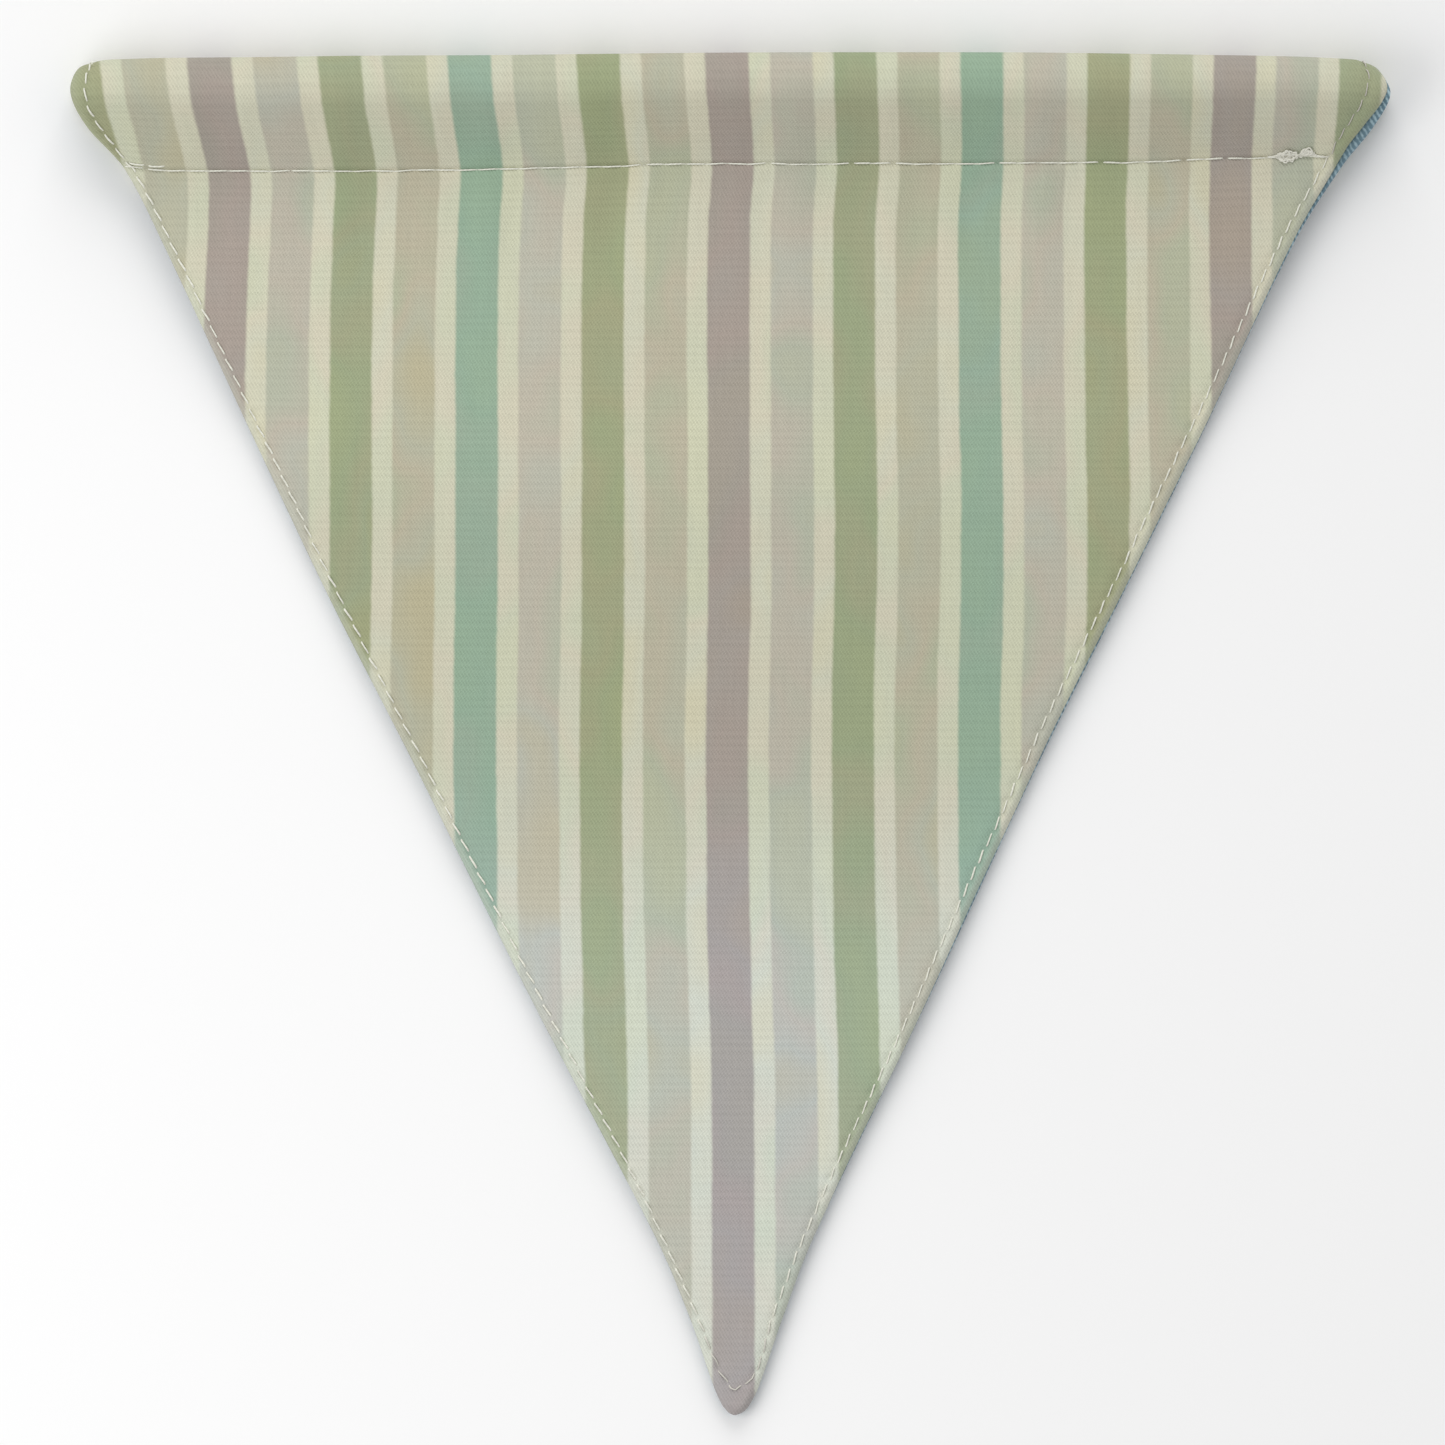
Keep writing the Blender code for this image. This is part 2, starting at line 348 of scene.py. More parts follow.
def topstitch_path():
    """The topstitching as (s, x) places, from the hem's left end down to the tip and up to its right end."""
    sides = []
    for side, column, edge in ((-1, "left", FRONT_LEFT), (1, "right", FRONT_RIGHT)):
        inset = through(TOPSTITCH_IN, laid_up(LINE_UP, edge), column)
        start = TIP_V[0 if side < 0 else -1][0]
        kept = (LINE > start) & (LINE < LINE_END - TOPSTITCH_END)
        sides.append(np.column_stack([LINE[kept], (edge - side * inset)[kept]]))
    left, right = sides
    corners = np.vstack([left[0], TIP_V[1:-1], right[0]])
    tip = np.vstack([np.linspace(a, b, TIP_STEPS, endpoint=False) for a, b in zip(corners, corners[1:])])
    return np.vstack([left[::-1], tip[1:], right])


TOPSTITCH = topstitch_path()
TOPSTITCH_RUN = lay(TOPSTITCH[:, 0], TOPSTITCH[:, 1], HALF_FLAG)
TOPSTITCH_LENGTH = np.append(0.0, np.cumsum(np.linalg.norm(np.diff(TOPSTITCH_RUN, axis=0), axis=1)))
TOPSTITCH_COUNT = round(TOPSTITCH_LENGTH[-1] / TOPSTITCH_PITCH)
TOPSTITCH_PHASE = TOPSTITCH_LENGTH / TOPSTITCH_LENGTH[-1] * TOPSTITCH_COUNT
SEAM_PITCH = 0.0025
SEAM_SPAN = (-0.0734, 0.0726)
SEAM_COUNT = round((SEAM_SPAN[1] - SEAM_SPAN[0]) / SEAM_PITCH)
GROOVE = 0.00030
GROOVE_WIDTH = 0.00050
GROOVE_FADE = 0.002
SEAM_GROOVE = 0.00030
SEAM_FADE = 60  # the seam's pull fades over one part in so many at each end


def stitch_dip(s, x):
    """How far the stitching pulls the cloth down: deepest at each needle hole."""
    dip = np.zeros(np.broadcast(s, x).shape)
    tip = np.argmin(TOPSTITCH[:, 0])
    for rows in (slice(tip, None, -1), slice(tip, None)):
        path_s, path_x, phase = TOPSTITCH[rows, 0], TOPSTITCH[rows, 1], TOPSTITCH_PHASE[rows]
        off = (x - np.interp(s, path_s, path_x)) / GROOVE_WIDTH
        pull = 0.6 + 0.4 * np.cos(2 * np.pi * np.interp(s, path_s, phase))
        dip += GROOVE * pull * np.exp(-(off**2)) * ease((s - path_s[0]) / GROOVE_FADE)
    across = (x - SEAM_SPAN[0]) / (SEAM_SPAN[1] - SEAM_SPAN[0])
    at_ends = ease(across * SEAM_FADE) * ease((1 - across) * SEAM_FADE)
    pull = (0.8 + 0.2 * np.cos(2 * np.pi * across * SEAM_COUNT)) * at_ends
    for seam in (SEAM_AT, HEM_SEAM_AT):
        dip = dip + SEAM_GROOVE * pull * np.exp(-(((s - seam) / GROOVE_WIDTH) ** 2))
    return dip


def rounded(distance, reach):
    """0 at an edge to 1 a reach in from it, like a quarter circle."""
    return np.sqrt(1 - (1 - np.clip(distance / reach, 0.0, 1.0)) ** 2)


def from_edges(s, x, left, right):
    """Distances in from a ply's left, right, tip and hem edges."""
    return x - np.interp(s, LINE, left), np.interp(s, LINE, right) - x, s, LINE_END - s


EDGE_ROLL = 0.0011
CORNER_ROLL = 0.0030  # at the fold, whose corners are curled in
CORNER_ROLL_REACH = 0.0070
PLY_CLEAR = 0.00002  # least distance of the striped cloth from the line


def front_out(s, x):
    """How far out of the line the striped face lies: rolled in at the edges and dipped at the stitching."""
    reach = EDGE_ROLL + (CORNER_ROLL - EDGE_ROLL) * ease(1 - np.abs(s - TOP_OF_FOLD) / CORNER_ROLL_REACH)
    left, right, tip, hem = from_edges(s, x, FRONT_LEFT, FRONT_RIGHT)
    roll = rounded(left, reach) * rounded(right, reach) * rounded(tip, EDGE_ROLL) * rounded(hem, EDGE_ROLL)
    return (HALF_FLAG - stitch_dip(s, x)) * roll


def front_inside(s, x):
    """How far out of the line the hidden side of the striped cloth lies."""
    return np.maximum(front_out(s, x) - CLOTH, PLY_CLEAR)


# Rows of faces lie this far apart along the line, closest where the cloth bends. Columns start at these
# distances in from each edge and are even between them.
ROW_GAP = np.array(
    [
        (0.0000, 0.00010),
        (0.0020, 0.00025),
        (0.0080, 0.00048),
        (SEAM_AT - 0.0030, 0.00048),
        (SEAM_AT - 0.0012, 0.00022),
        (SEAM_AT + 0.0012, 0.00022),
        (SEAM_AT + 0.0040, 0.00045),
        (HEM_SEAM_AT - 0.0020, 0.00048),
        (HEM_SEAM_AT, 0.00025),
        (LINE_END - 0.0010, 0.00025),
        (LINE_END, 0.00008),
    ],
    dtype=[("s", float), ("gap", float)],
)
EDGE_COLUMNS = (0.0, 0.00007, 0.0002, 0.0004, 0.0007, 0.0010, 0.0013, 0.0016, 0.0019, 0.0023, 0.0028, 0.0035)


def grid_places(left, right, middle_columns, coarser, every):
    """S and X of each vertex of a ply's grid, with rows and columns in multiples of every."""
    wanted = np.interp(LINE, ROW_GAP["s"], ROW_GAP["gap"]) * coarser
    so_far = np.append(0.0, np.cumsum(np.diff(LINE) / wanted[1:]))
    rows = every * math.ceil(so_far[-1] / every)
    s = np.interp(np.linspace(0, so_far[-1], rows + 1), so_far, LINE)
    low, high = np.interp(s, LINE, left), np.interp(s, LINE, right)
    half = (high - low) / 2
    edge = np.array(EDGE_COLUMNS)
    squeeze = np.minimum(1.0, half / (2.2 * edge[-1]))
    at_edge = squeeze[:, None] * edge
    share = np.linspace(0, 1, middle_columns + 1)[1:]
    inner = at_edge[:, -1:] + (half[:, None] - at_edge[:, -1:]) * share
    inwards = np.hstack([at_edge, inner])
    x = np.hstack([low[:, None] + inwards, high[:, None] - inwards[:, -2::-1]])
    return np.broadcast_to(s[:, None], x.shape), x


def shell(name, s, x, outer, inner, every):
    """A closed ply: one face on the outer places, and one on every few of the inner, joined at the rim."""
    rows, columns = s.shape[0] - 1, s.shape[1] - 1
    index = np.arange(s.size).reshape(s.shape)
    kept_rows, kept_columns = np.arange(every, rows, every), np.arange(every, columns, every)
    inside = np.ix_(kept_rows, kept_columns)
    back = index.copy()
    back[inside] = s.size + np.arange(kept_rows.size * kept_columns.size).reshape(kept_rows.size, -1)
    places = np.vstack([outer.reshape(-1, 3), inner[inside].reshape(-1, 3)])
    front = np.stack([index[:-1, :-1], index[:-1, 1:], index[1:, 1:], index[1:, :-1]], axis=-1)
    faces = front.reshape(-1, 4).tolist()
    for i in range(0, rows, every):
        for j in range(0, columns, every):
            low = range(j, j + every) if i == 0 else (j,)
            right = range(i, i + every) if j + every == columns else (i,)
            high = range(j + every, j, -1) if i + every == rows else (j + every,)
            left = range(i + every, i, -1) if j == 0 else (i + every,)
            corners = [back[i, k] for k in low] + [back[k, j + every] for k in right]
            corners += [back[i + every, k] for k in high] + [back[k, j] for k in left]
            faces.append([int(k) for k in reversed(corners)])
    if outer[rows // 2, columns // 2, 2] < inner[rows // 2, columns // 2, 2]:
        faces = [face[::-1] for face in faces]
    mesh = bpy.data.meshes.new(name)
    mesh.from_pydata(places.tolist(), [], faces)
    mesh.shade_smooth()
    piece = bpy.data.objects.new(name, mesh)
    bpy.context.scene.collection.objects.link(piece)
    pattern = np.stack([printed_across(s, x), s], axis=-1)
    pattern = np.vstack([pattern.reshape(-1, 2), pattern[inside].reshape(-1, 2)])
    corner_of = np.empty(len(mesh.loops), dtype=np.int32)
    mesh.loops.foreach_get("vertex_index", corner_of)
    mesh.uv_layers.new(name="cut").data.foreach_set("uv", pattern[corner_of].ravel())
    return piece


# The stripes drift a little along the flag. They draw together at the channel seam, and fan out to its fold.
STRIPE_LIE = np.array(
    [
        (0.0000, 0.00055, 1.0000, 0.0),
        (0.0383, 0.00050, 1.0000, 0.0),
        (0.0505, 0.00018, 1.0000, 0.0),
        (0.0650, -0.00012, 0.9970, 0.0),
        (0.0869, -0.00024, 0.9960, 0.0),
        (0.0990, 0.00003, 0.9985, 0.0),
        (0.1112, 0.00006, 0.9980, 0.0),
        (0.1233, -0.00008, 0.9960, 0.0),
        (0.1354, -0.00006, 0.9925, 0.0),
        (0.1451, 0.00008, 0.9885, 0.0),
        (SEAM_AT, 0.00018, 0.9875, 0.0003),
        (TOP_OF_FOLD, -0.00074, 1.0100, 0.00045),
        (HEM_SEAM_AT, 0.00018, 0.9875, 0.0003),
    ],
    dtype=[("s", float), ("shift", float), ("spread", float), ("bow", float)],
)
STRIPE_BOW_CENTRE = 0.0080
STRIPE_BOW_REACH = 0.0550


def printed_across(s, x):
    """Where on the flat cloth a place lies across the stripes."""
    bow = through(STRIPE_LIE, s, "bow") * (1 - ((x - STRIPE_BOW_CENTRE) / STRIPE_BOW_REACH) ** 2)
    return (x - through(STRIPE_LIE, s, "shift") - bow) / through(STRIPE_LIE, s, "spread")


FRONT_EVERY = 4
front_s, front_x = grid_places(FRONT_LEFT, FRONT_RIGHT, middle_columns=81, coarser=1.0, every=FRONT_EVERY)
front = shell(
    "front_cloth",
    front_s,
    front_x,
    lay(front_s, front_x, front_out(front_s, front_x)),
    lay(front_s, front_x, front_inside(front_s, front_x)),
    FRONT_EVERY,
)

# The print is a little worn along the edges, less along the channel and not at the tip. The cloth's hidden
# side is as pale all over.
WORN_REACH = 0.0016
CHANNEL_SPARED = 0.65
CHANNEL_FADE = 0.003
TIP_SPARED = 0.018
inwards = np.minimum.reduce(from_edges(front_s, front_x, FRONT_LEFT, FRONT_RIGHT))
worn = np.ones(len(front.data.vertices))
wear = (1 - CHANNEL_SPARED * ease((front_s - SEAM_AT) / CHANNEL_FADE + 1)) * ease(front_s / TIP_SPARED)
worn[: inwards.size] = ((1 - ease(inwards / WORN_REACH)) * wear).ravel()
front.data.attributes.new("worn_edge", "FLOAT", "POINT").data.foreach_set("value", worn)


def node(tree, kind, inputs=(), **settings):
    """A node with its settings. Each of its inputs gets a value, or a link from a socket."""
    made = tree.nodes.new(kind)
    for key, value in settings.items():
        setattr(made, key, value)
    for key, value in dict(inputs).items():
        if isinstance(value, bpy.types.NodeSocket):
            tree.links.new(value, made.inputs[key])
        else:
            made.inputs[key].default_value = value
    return made


def maths(tree, operation, first, second=0.0, third=0.0):
    """The result of one sum."""
    return node(tree, "ShaderNodeMath", {0: first, 1: second, 2: third}, operation=operation).outputs[0]


def smooth_step(tree, value, low, high, start=0.0, end=1.0):
    """start to end as the value goes from low to high, smoothly."""
    places = {"Value": value, "From Min": low, "From Max": high, "To Min": start, "To Max": end}
    return node(tree, "ShaderNodeMapRange", places, interpolation_type="SMOOTHSTEP").outputs["Result"]


def cloudy(tree, x, y, z, detail=2.0, rough=0.5):
    """Soft noise, 0 to 1, at a place given in its own units."""
    place = node(tree, "ShaderNodeCombineXYZ", {0: x, 1: y, 2: z}).outputs[0]
    sizes = {"Vector": place, "Scale": 1.0, "Detail": detail, "Roughness": rough}
    return node(tree, "ShaderNodeTexNoise", sizes).outputs["Fac"]


def mixed(tree, share, first, second, blend="MIX"):
    """Two colours mixed by a share of the second."""
    made = node(tree, "ShaderNodeMix", data_type="RGBA", blend_type=blend)
    for socket, value in ((made.inputs[0], share), (made.inputs[6], first), (made.inputs[7], second)):
        if isinstance(value, bpy.types.NodeSocket):
            tree.links.new(value, socket)
        else:
            socket.default_value = value
    return made.outputs[2]


def dye(red, green, blue):
    """A colour given as it looks on a screen, 0 to 255, as a shader's linear colour."""
    linear = [((c / 255 + 0.055) / 1.055) ** 2.4 for c in (red, green, blue)]
    return (*linear, 1.0)


def ramp(tree, value, stops, interpolation="CONSTANT"):
    """Colours at even stops, picked by a value from 0 to 1."""
    made = node(tree, "ShaderNodeValToRGB", {0: value})
    made.color_ramp.interpolation = interpolation
    elements = made.color_ramp.elements
    while len(elements) < len(stops):
        elements.new(1.0)
    share = len(stops) if interpolation == "CONSTANT" else len(stops) - 1
    for k, colour in enumerate(stops):
        elements[k].position = k / share
        elements[k].color = colour
    return made.outputs["Color"]


def weave_group():
    """Woven threads, shared by both cloths: a height for the bump and a tone for the colour, each 0 to 1."""
    tree = bpy.data.node_groups.new("weave", "ShaderNodeTree")
    inputs = (("Thread pitch", 0.0004), ("Twill", 0.5), ("Slub", 0.5))
    tree.interface.new_socket("Cut", in_out="INPUT", socket_type="NodeSocketVector")
    for name, value in inputs:
        tree.interface.new_socket(name, in_out="INPUT", socket_type="NodeSocketFloat").default_value = value
    for name in ("Height", "Tone"):
        tree.interface.new_socket(name, in_out="OUTPUT", socket_type="NodeSocketFloat")
    given = node(tree, "NodeGroupInput").outputs
    across, along = node(tree, "ShaderNodeSeparateXYZ", {0: given["Cut"]}).outputs[:2]
    across, along = (maths(tree, "DIVIDE", axis, given["Thread pitch"]) for axis in (across, along))
    stray = maths(tree, "MULTIPLY", cloudy(tree, across, along, 0.0, 3.0), 2.2)
    turn_across = maths(tree, "MULTIPLY_ADD", across, 2 * math.pi, stray)
    turn_along = maths(tree, "MULTIPLY_ADD", along, 2 * math.pi, stray)
    warp, weft = maths(tree, "SINE", turn_across), maths(tree, "SINE", turn_along)
    plain = maths(tree, "MULTIPLY_ADD", maths(tree, "MULTIPLY", warp, weft), 0.5, 0.5)
    slant = maths(tree, "MULTIPLY_ADD", turn_along, 0.55, turn_across)
    twill = maths(tree, "MULTIPLY_ADD", maths(tree, "SINE", slant), 0.5, 0.5)
    woven = maths(tree, "MULTIPLY_ADD", maths(tree, "SUBTRACT", twill, plain), given["Twill"], plain)
    weft_slub = cloudy(tree, maths(tree, "MULTIPLY", across, 0.06), maths(tree, "MULTIPLY", along, 0.9), 3.0)
    warp_slub = cloudy(tree, maths(tree, "MULTIPLY", across, 0.9), maths(tree, "MULTIPLY", along, 0.06), 7.0)
    slub = maths(tree, "SUBTRACT", maths(tree, "ADD", weft_slub, warp_slub), 1.0)
    tone = maths(tree, "MULTIPLY_ADD", slub, given["Slub"], woven)
    result = node(tree, "NodeGroupOutput")
    tree.links.new(woven, result.inputs["Height"])
    tree.links.new(tone, result.inputs["Tone"])
    return tree


WEAVE = weave_group()


def new_material(name):
    """A material with a bare Principled shader: its tree, and that shader."""
    material = bpy.data.materials.new(name)
    material.use_nodes = True
    return material, material.node_tree, material.node_tree.nodes["Principled BSDF"]


def woven(tree, pitch, twill, slub):
    """The weave at the piece's own place on the flat cloth: the place, its height and its tone."""
    cut = node(tree, "ShaderNodeUVMap", uv_map="cut").outputs[0]
    weave = node(tree, "ShaderNodeGroup", node_tree=WEAVE)
    tree.links.new(cut, weave.inputs["Cut"])
    for name, value in (("Thread pitch", pitch), ("Twill", twill), ("Slub", slub)):
        weave.inputs[name].default_value = value
    return cut, weave.outputs["Height"], weave.outputs["Tone"]


STRIPE_PITCH = 0.00768
STRIPE_CENTRE = -0.00018  # the mauve stripe down the middle
STRIPE_HALF = 0.336  # of the pitch
STRIPE_UNEVEN = 0.04
STRIPE_SOFT = 0.032
SWAY = 0.0003  # slow bends of the stripes' edges
FRAY = 0.00022  # and fine ones
STRIPES = (
    dye(164, 156, 146),  # mauve
    dye(182, 182, 165),  # grey
    dye(157, 165, 132),  # green
    dye(180, 180, 156),  # beige
    dye(150, 173, 152),  # aqua
    dye(184, 184, 166),  # grey
    dye(159, 165, 130),  # green
    dye(181, 181, 158),  # sage grey
)
GROUND = dye(204, 204, 181)
WASHES = (
    (1.06, 0.98, 0.89, 1.0),
    (1.00, 1.01, 1.05, 1.0),
    (1.05, 0.98, 1.00, 1.0),
    (0.95, 1.00, 0.98, 1.0),
    (1.00, 1.03, 0.95, 1.0),
)
WASH_DEPTH = (0.5, 1.0, 0.8, 1.0, 0.6, 1.0, 0.8, 1.0)  # one for each of the stripes
GROUND_WASH_DEPTH = 0.6
# Towards the tip the print is cooler, and it is lightened there as painted light.
TIP_TINT_AND_LIGHT = (1.09, 1.14, 1.28, 1.0)
TIP_TINT_AND_LIGHT_END = (0.050, 0.085)
# Painted light: where the cloth rises on to the hem below the seam, it is lightened against the shade its
# slope takes.
PAINTED_SLOPE_LIGHT = (1.09, 1.08, 1.08, 1.0)
PAINTED_SLOPE_LIGHT_START = (0.104, 0.124)
PAINTED_SLOPE_LIGHT_END = (0.136, 0.156)
WORN_EDGE = dye(203, 207, 193)
WORN_FADING = 0.36
# The weave's tone paints shade into its hollows, and the slubs add their own random tone.
YARN_TONE_AND_SHADE_CONTRAST = 0.19


def striped_cotton():
    """Fine cotton with soft printed stripes; painted light below the seam and at the tip, painted shade in
    its weave.
    """
    material, tree, shader = new_material("striped_cotton")
    cut, height, tone = woven(tree, pitch=0.00042, twill=0.55, slub=0.5)
    across, along = node(tree, "ShaderNodeSeparateXYZ", {0: cut}).outputs[:2]

    def cloud(across_scale, along_scale, seed, detail=2.0):
        """Soft noise that lies on the cloth."""
        x, y = maths(tree, "MULTIPLY", across, across_scale), maths(tree, "MULTIPLY", along, along_scale)
        return cloudy(tree, x, y, seed, detail)

    sway = maths(tree, "MULTIPLY", maths(tree, "SUBTRACT", cloud(45, 60, 1.0), 0.5), SWAY)
    fray = maths(tree, "MULTIPLY", maths(tree, "SUBTRACT", cloud(900, 700, 2.0), 0.5), FRAY)
    painted = maths(tree, "ADD", maths(tree, "ADD", across, sway), fray)
    count = maths(tree, "DIVIDE", maths(tree, "SUBTRACT", painted, STRIPE_CENTRE), STRIPE_PITCH)
    stripe = maths(tree, "ROUND", count)
    off = maths(tree, "ABSOLUTE", maths(tree, "SUBTRACT", count, stripe))
    half = maths(tree, "MULTIPLY_ADD", cloud(150, 80, 3.0), STRIPE_UNEVEN, STRIPE_HALF - STRIPE_UNEVEN / 2)
    inside = maths(tree, "SUBTRACT", half, off)
    on_stripe = smooth_step(tree, inside, -STRIPE_SOFT, STRIPE_SOFT)
    turns = maths(tree, "MULTIPLY_ADD", stripe, 1 / len(STRIPES), 0.5 / len(STRIPES) + 4)
    turn = maths(tree, "FRACT", turns)
    plain = ramp(tree, turn, STRIPES)
    depth = ramp(tree, turn, [(v, v, v, 1.0) for v in WASH_DEPTH])

    def wash(own, seed):
        """The watery tints that drift along a stripe, each stripe with its own."""
        x = maths(tree, "MULTIPLY_ADD", across, 60, own)
        soft = cloudy(tree, x, maths(tree, "MULTIPLY", along, 38), seed, 2.0)
        return ramp(tree, smooth_step(tree, soft, 0.25, 0.75), WASHES, "LINEAR")

    stripe_wash = wash(maths(tree, "MULTIPLY", stripe, 3.7), 5.0)
    stripes = mixed(tree, depth, plain, stripe_wash, "MULTIPLY")
    gap_wash = wash(maths(tree, "MULTIPLY", maths(tree, "FLOOR", count), 5.3), 12.0)
    ground = mixed(tree, GROUND_WASH_DEPTH, GROUND, gap_wash, "MULTIPLY")
    print_colour = mixed(tree, on_stripe, ground, stripes)
    # Cooler towards the tip, and lighter there as painted light.
    near_tip = smooth_step(tree, along, *TIP_TINT_AND_LIGHT_END, 1.0, 0.0)
    print_colour = mixed(tree, near_tip, print_colour, TIP_TINT_AND_LIGHT, "MULTIPLY")
    # Painted light on the slope below the seam.
    slope_light_share = smooth_step(tree, along, *PAINTED_SLOPE_LIGHT_END, 1.0, 0.0)
    slope_light_share = maths(tree, "MULTIPLY", smooth_step(tree, along, *PAINTED_SLOPE_LIGHT_START), slope_light_share)
    print_colour = mixed(tree, slope_light_share, print_colour, PAINTED_SLOPE_LIGHT, "MULTIPLY")
    worn = node(tree, "ShaderNodeAttribute", attribute_name="worn_edge").outputs["Fac"]
    fading = maths(tree, "MULTIPLY", smooth_step(tree, worn, 0.0, 0.9), WORN_FADING)
    faded = mixed(tree, fading, print_colour, WORN_EDGE)
    # Painted shade in the weave's hollows, with the slubs' own random tone.
    yarn_tone_and_shade = maths(tree, "MULTIPLY_ADD", tone, YARN_TONE_AND_SHADE_CONTRAST, 1 - YARN_TONE_AND_SHADE_CONTRAST / 2)
    grey = node(tree, "ShaderNodeCombineColor", {0: yarn_tone_and_shade, 1: yarn_tone_and_shade, 2: yarn_tone_and_shade}).outputs[0]
    tree.links.new(mixed(tree, 1.0, faded, grey, "MULTIPLY"), shader.inputs["Base Color"])
    bump = node(tree, "ShaderNodeBump", {"Height": height, "Strength": 0.7, "Distance": 0.00010})
    tree.links.new(bump.outputs[0], shader.inputs["Normal"])
    shader.inputs["Roughness"].default_value = 0.85
    shader.inputs["Specular IOR Level"].default_value = 0.2
    shader.inputs["Sheen Weight"].default_value = 0.03
    shader.inputs["Sheen Roughness"].default_value = 0.5
    return material


front.data.materials.append(striped_cotton())
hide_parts("front_panel")
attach(front, "root")


# Blue backing. The same cut in a coarser, denim-like cotton, turned in with the front. It lines the channel
# and shows as a thin edge down the right side, where the seam rolled towards the front.
BACKING_TUCK = 0.0003
BACKING_RIM = -0.0005  # out of the line, where its turned edge lies
BACKING_ROLL = 0.0006
BEAD_TOP = -0.00003
BEAD_ROLL = 0.0005
BEAD_END = (0.0012, 0.0022)
BACKING_EVERY = 1
BLUE_DARK = dye(96, 126, 140)
BLUE_LIGHT = dye(172, 199, 209)
BLUE_FADED = dye(124, 150, 163)


def backing_step(side, up):
    """The blue ply is rolled out of sight on the left, and on the right near the tip and at the fold."""
    return np.maximum(-through(BLUE_REVEAL, up, "width"), 0.0) if side > 0 else BACKING_TUCK


BACKING_LEFT, BACKING_RIGHT = long_edges(backing_step, rim_out=BACKING_RIM)


def backing_out(s, x):
    """How far out of the line the backing's outer face lies: below it, and rolled up to its rim."""
    roll = 1.0
    for distance in from_edges(s, x, BACKING_LEFT, BACKING_RIGHT):
        roll = roll * rounded(distance, BACKING_ROLL)
    return BACKING_RIM - (HALF_FLAG + BACKING_RIM - stitch_dip(s, x)) * roll


def backing_inside(s, x):
    """How far out of the line its inner side lies: a bead along the rim, then flat against the front."""
    inwards = np.minimum.reduce(from_edges(s, x, BACKING_LEFT, BACKING_RIGHT))
    bead = BACKING_RIM + (BEAD_TOP - BACKING_RIM) * rounded(inwards, BEAD_ROLL)
    flat = ease((inwards - BEAD_END[0]) / (BEAD_END[1] - BEAD_END[0]))
    return bead + (np.minimum(CLOTH - HALF_FLAG, bead) - bead) * flat


backing_s, backing_x = grid_places(
    BACKING_LEFT, BACKING_RIGHT, middle_columns=44, coarser=1.15, every=BACKING_EVERY
)
backing = shell(
    "backing_cloth",
    backing_s,
    backing_x,
    lay(backing_s, backing_x, backing_out(backing_s, backing_x)),
    lay(backing_s, backing_x, backing_inside(backing_s, backing_x)),
    BACKING_EVERY,
)


def blue_cotton():
    """Coarse blue cotton: pale and dark threads in a twill, a little faded in patches."""
    material, tree, shader = new_material("blue_cotton")
    cut, height, tone = woven(tree, pitch=0.00076, twill=0.8, slub=1.5)
    across, along = node(tree, "ShaderNodeSeparateXYZ", {0: cut}).outputs[:2]
    faded = cloudy(tree, maths(tree, "MULTIPLY", across, 60), maths(tree, "MULTIPLY", along, 60), 4.0, 3.0)
    blue = mixed(tree, smooth_step(tree, tone, 0.25, 1.0), BLUE_DARK, BLUE_LIGHT)
    blue = mixed(tree, smooth_step(tree, faded, 0.35, 0.7, 0.0, 0.45), blue, BLUE_FADED)
    tree.links.new(blue, shader.inputs["Base Color"])
    bump = node(tree, "ShaderNodeBump", {"Height": height, "Strength": 0.8, "Distance": 0.00012})
    tree.links.new(bump.outputs[0], shader.inputs["Normal"])
    shader.inputs["Roughness"].default_value = 0.9
    shader.inputs["Sheen Weight"].default_value = 0.1
    shader.inputs["Sheen Roughness"].default_value = 0.5
    return material


backing.data.materials.append(blue_cotton())
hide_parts("backing_panel")
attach(backing, "root")


# Topstitching and channel stitching. Cream cotton thread, machine lockstitched through both plies: each row
# is one thread that lies on the cloth between its needle holes and dips into it at each of them.
THREAD_RADIUS = 0.00013
SEAM_THREAD_RADIUS = 0.00012
THREAD_TWIST = 0.00055  # length of one turn of its plies
# One cream, shaded and lit: painted shade in the grooves of the twist and painted light on its plies.
CREAM_PLY_SHADE = dye(220, 219, 206)
CREAM_PLY_LIGHT = dye(233, 233, 221)
# A darker cream, painted as the shade the thread lies in where it is drawn tight into the cloth.
PINCH_SHADE_CREAM = dye(194, 189, 182)  # where it is drawn tight into the cloth


